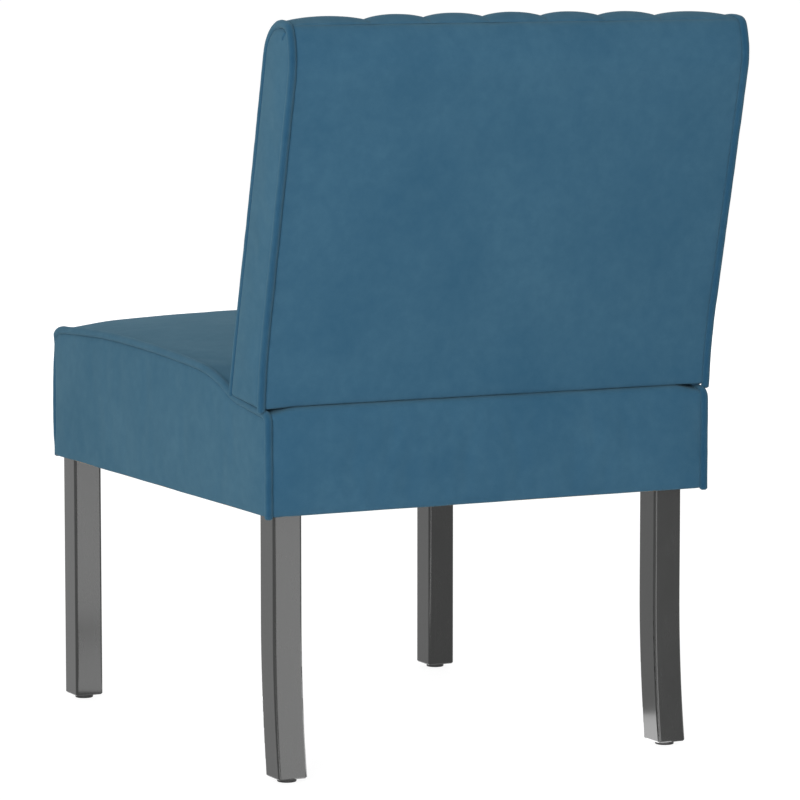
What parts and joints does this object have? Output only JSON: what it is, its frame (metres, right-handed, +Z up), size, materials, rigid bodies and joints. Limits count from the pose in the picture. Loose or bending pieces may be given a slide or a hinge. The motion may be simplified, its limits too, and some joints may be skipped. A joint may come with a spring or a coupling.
{
  "type": "armless chair",
  "caption": "Armless upholstered chair with a channelled, leaning back, a piped velvet seat box and dark square legs, the rear ones swept back, for seating one person.",
  "frame": {"origin": "on the floor, under the middle of the overall box", "axes": "+X to the sitter's left, +Y to the rear, +Z up"},
  "size_m": [0.551, 0.6899, 0.8206],
  "materials": {
    "velvet": "matte",
    "piping_velvet": "matte",
    "leg_lacquer": "satin",
    "glide_black": "matte",
    "frame_wood": "matte",
    "plywood": "matte",
    "foam": "matte",
    "webbing": "matte",
    "dust_cloth": "matte",
    "steel": "satin"
  },
  "bodies": {
    "root": {"back_bracket_left": "steel", "back_bracket_right": "steel", "back_channel_panel": "velvet", "back_cover_left": "velvet", "back_cover_rear": "velvet", "back_cover_right": "velvet", "back_foam": "foam", "back_rail_bottom": "frame_wood", "back_rail_middle": "frame_wood", "back_rail_top": "frame_wood", "back_rear_board": "plywood", "back_screws": "steel", "back_stile_left": "frame_wood", "back_stile_right": "frame_wood", "back_support_board": "plywood", "back_wadding_left": "foam", "back_wadding_right": "foam", "back_welt_left": "piping_velvet", "back_welt_right": "piping_velvet", "bracket_bolts": "steel", "bracket_tee_nuts": "steel", "corner_block_front_left": "frame_wood", "corner_block_front_right": "frame_wood", "corner_block_rear_left": "frame_wood", "corner_block_rear_right": "frame_wood", "dust_cover": "dust_cloth", "glide_front_left": "glide_black", "glide_front_right": "glide_black", "glide_nails": "steel", "glide_rear_left": "glide_black", "glide_rear_right": "glide_black", "hanger_bolts": "steel", "hanger_nuts": "steel", "hanger_washers": "steel", "ledge_rail": "frame_wood", "leg_front_left": "leg_lacquer", "leg_front_right": "leg_lacquer", "leg_rear_left": "leg_lacquer", "leg_rear_right": "leg_lacquer", "seat_cover_left": "velvet", "seat_cover_rear": "velvet", "seat_cover_right": "velvet", "seat_cover_top": "velvet", "seat_foam": "foam", "seat_rail_front": "frame_wood", "seat_rail_left": "frame_wood", "seat_rail_rear": "frame_wood", "seat_rail_right": "frame_wood", "seat_webbing": "webbing", "seat_welt_left": "piping_velvet", "seat_welt_right": "piping_velvet"}
  },
  "joints": []
}
